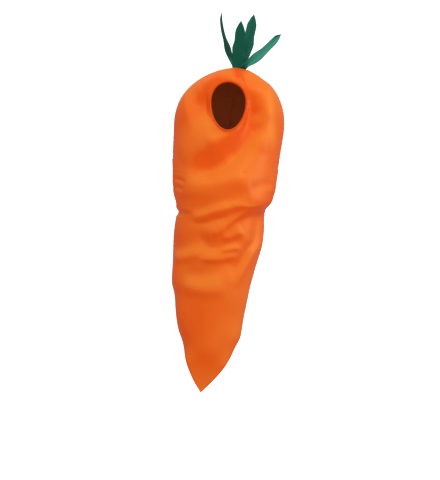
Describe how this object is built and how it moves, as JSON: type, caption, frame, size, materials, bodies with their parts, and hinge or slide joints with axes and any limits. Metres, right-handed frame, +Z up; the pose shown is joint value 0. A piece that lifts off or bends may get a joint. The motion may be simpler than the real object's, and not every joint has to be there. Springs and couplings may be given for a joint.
{
  "type": "carrot costume",
  "caption": "Pull-on padded carrot costume in orange satin with a face opening, armholes, a pointed hem and green leaves on the crown.",
  "frame": {"origin": "where the crown rests on the wearer's head: the inner face of the top of the hood, on the costume's centre line", "axes": "+Z up along the costume, -Y towards the front where the face opening is, +X towards the right as seen from the front"},
  "size_m": [0.4809, 0.3267, 1.657],
  "materials": {
    "orange satin": "foam-backed satin",
    "orange binding": "folded satin tape, stitched",
    "placket cloth": "plain woven cloth",
    "hook and loop tape": "hook and loop pile",
    "green satin": "foam-backed satin, top-stitched"
  },
  "bodies": {
    "root": {"front_panel_hood": "orange satin", "front_panel_chest": "orange satin", "front_panel_skirt": "orange satin", "back_panel_right_upper": "orange satin", "back_panel_left_upper": "orange satin", "back_panel_right_lower": "orange satin", "back_panel_left_lower": "orange satin", "face_binding": "orange binding", "armhole_binding_right": "orange binding", "armhole_binding_left": "orange binding", "back_placket": "placket cloth", "leaf_centre": "green satin", "leaf_right": "green satin", "leaf_mid_right": "green satin", "leaf_left": "green satin", "loop_patch_1": "hook and loop tape", "hook_patch_1": "hook and loop tape", "loop_patch_2": "hook and loop tape", "hook_patch_2": "hook and loop tape", "loop_patch_3": "hook and loop tape", "hook_patch_3": "hook and loop tape", "loop_patch_4": "hook and loop tape", "hook_patch_4": "hook and loop tape"}
  },
  "joints": []
}
